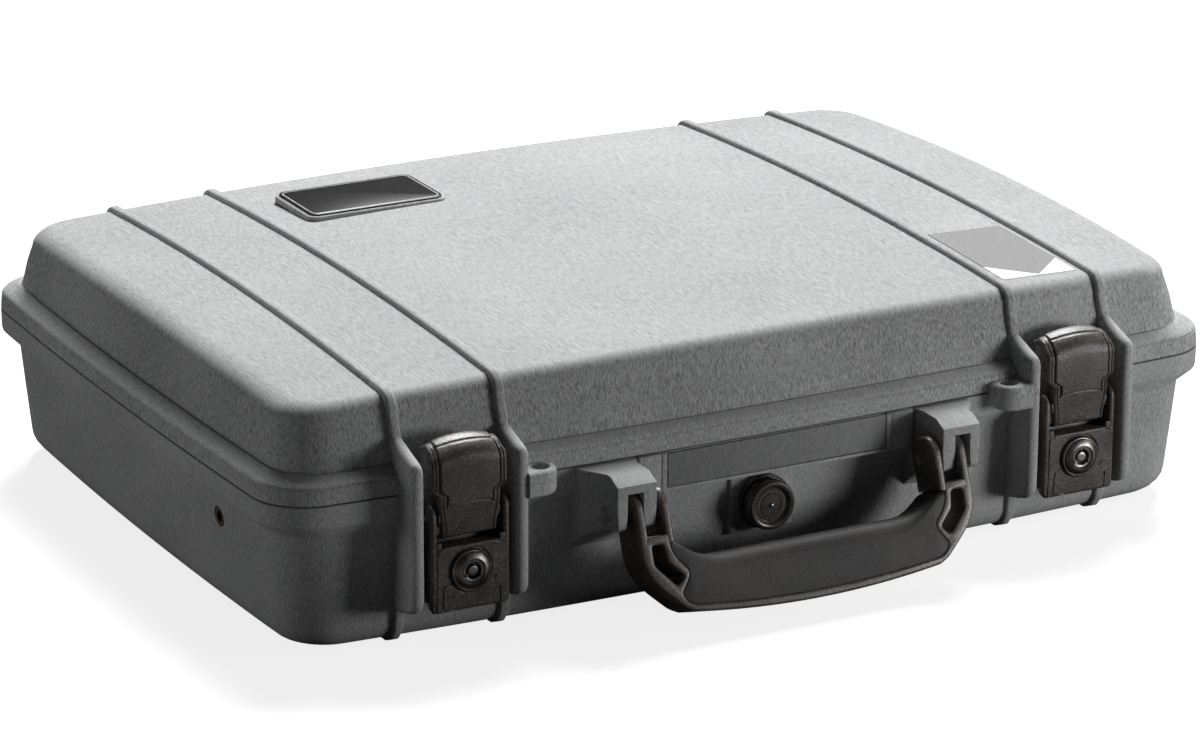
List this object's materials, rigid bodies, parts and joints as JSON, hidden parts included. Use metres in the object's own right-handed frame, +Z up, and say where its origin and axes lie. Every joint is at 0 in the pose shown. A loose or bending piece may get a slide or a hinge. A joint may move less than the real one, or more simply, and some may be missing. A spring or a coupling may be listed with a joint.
{
  "type": "laptop hard case",
  "caption": "Shallow moulded hard case for a laptop, with a hinged lid, key-locked double latches, a fold-out carry handle, a pressure purge valve and foam lining.",
  "frame": {"origin": "on the resting plane, under the centre of the rim, on the cross rib of the underside", "axes": "+X along the long side to the right seen from the front, -Y towards the handle and latches, +Z up through the lid"},
  "size_m": [0.427, 0.3465, 0.1074],
  "materials": {
    "shell": "mid grey structural foam polypropylene, fine brushed grain",
    "panel": "grey moulded blank name panel",
    "latch": "black-brown glass filled plastic, fine speckle, semi-gloss",
    "lock_metal": "dark plated zinc and steel, satin",
    "pin_steel": "stainless pin",
    "brass": "brass insert",
    "handle": "black-brown plastic, satin",
    "grip": "charcoal over-moulded grip",
    "valve": "black plastic, glossy rim",
    "gasket": "black polymer o-ring",
    "membrane": "white vent membrane",
    "label": "black plate with a thin pale border",
    "sticker": "two-tone grey paper sticker, blank",
    "foam": "charcoal open-cell foam"
  },
  "bodies": {
    "base": {"base_shell": "shell", "base_foam": "foam", "name_panel": "panel", "valve_washer": "gasket", "valve_body": "valve", "valve_nut": "valve", "valve_membrane": "membrane", "latch_pin_left": "pin_steel", "latch_pin_right": "pin_steel", "hinge_pin_left": "pin_steel", "hinge_pin_right": "pin_steel", "handle_pin_left": "pin_steel", "handle_pin_right": "pin_steel", "strap_insert_left": "brass", "strap_insert_right": "brass", "base_guard_inner_left": "shell", "base_guard_outer_left": "shell", "handle_bracket_left": "shell", "base_knuckle_inner_left": "shell", "base_knuckle_outer_left": "shell", "base_guard_inner_right": "shell", "base_guard_outer_right": "shell", "handle_bracket_right": "shell", "base_knuckle_inner_right": "shell", "base_knuckle_outer_right": "shell"},
    "lid": {"lid_shell": "shell", "lid_gasket": "gasket", "lid_foam": "foam", "label_plate": "label", "sticker": "sticker", "lid_guard_inner_left": "shell", "lid_guard_outer_left": "shell", "lid_knuckle_left": "shell", "lid_guard_inner_right": "shell", "lid_guard_outer_right": "shell", "lid_knuckle_right": "shell"},
    "handle": {"handle_frame": "handle", "handle_grip": "grip"},
    "valve_knob": {"valve_knob": "valve"},
    "lever_left": {"latch_lever_left": "latch", "lock_barrel_left": "lock_metal", "lock_nut_left": "pin_steel"},
    "plug_left": {"lock_plug_left": "lock_metal", "lock_cam_left": "pin_steel", "cam_screw_left": "pin_steel"},
    "claw_left": {"latch_claw_left": "latch"},
    "lever_right": {"latch_lever_right": "latch", "lock_barrel_right": "lock_metal", "lock_nut_right": "pin_steel"},
    "plug_right": {"lock_plug_right": "lock_metal", "lock_cam_right": "pin_steel", "cam_screw_right": "pin_steel"},
    "claw_right": {"latch_claw_right": "latch"}
  },
  "joints": [
    {"name": "lid_hinge", "type": "hinge", "parent": "base", "child": "lid", "pos_m": [0, 0.1515, 0.0644], "axis": [-1, 0, 0], "range_deg": [0, 100]},
    {"name": "handle_swing", "type": "hinge", "parent": "base", "child": "handle", "pos_m": [0, -0.1635, 0.0468], "axis": [-1, 0, 0], "range_deg": [0, 72]},
    {"name": "valve_turn", "type": "hinge", "parent": "base", "child": "valve_knob", "pos_m": [-0.0045, -0.155, 0.0365], "axis": [0, 1, 0], "range_deg": [0, 180]},
    {"name": "lever_left_swing", "type": "hinge", "parent": "base", "child": "lever_left", "pos_m": [-0.13658, -0.1535, 0.056], "axis": [-1, 0, 0], "range_deg": [0, 90]},
    {"name": "claw_left_tip", "type": "hinge", "parent": "base", "child": "claw_left", "pos_m": [-0.13658, -0.1535, 0.056], "axis": [1, 0, 0], "range_deg": [-5, 25]},
    {"name": "plug_left_turn", "type": "hinge", "parent": "lever_left", "child": "plug_left", "pos_m": [-0.13658, -0.159, 0.0341], "axis": [0, 1, 0], "range_deg": [0, 90]},
    {"name": "lever_right_swing", "type": "hinge", "parent": "base", "child": "lever_right", "pos_m": [0.13658, -0.1535, 0.056], "axis": [-1, 0, 0], "range_deg": [0, 90]},
    {"name": "claw_right_tip", "type": "hinge", "parent": "base", "child": "claw_right", "pos_m": [0.13658, -0.1535, 0.056], "axis": [1, 0, 0], "range_deg": [-5, 25]},
    {"name": "plug_right_turn", "type": "hinge", "parent": "lever_right", "child": "plug_right", "pos_m": [0.13658, -0.159, 0.0341], "axis": [0, 1, 0], "range_deg": [0, 90]}
  ]
}
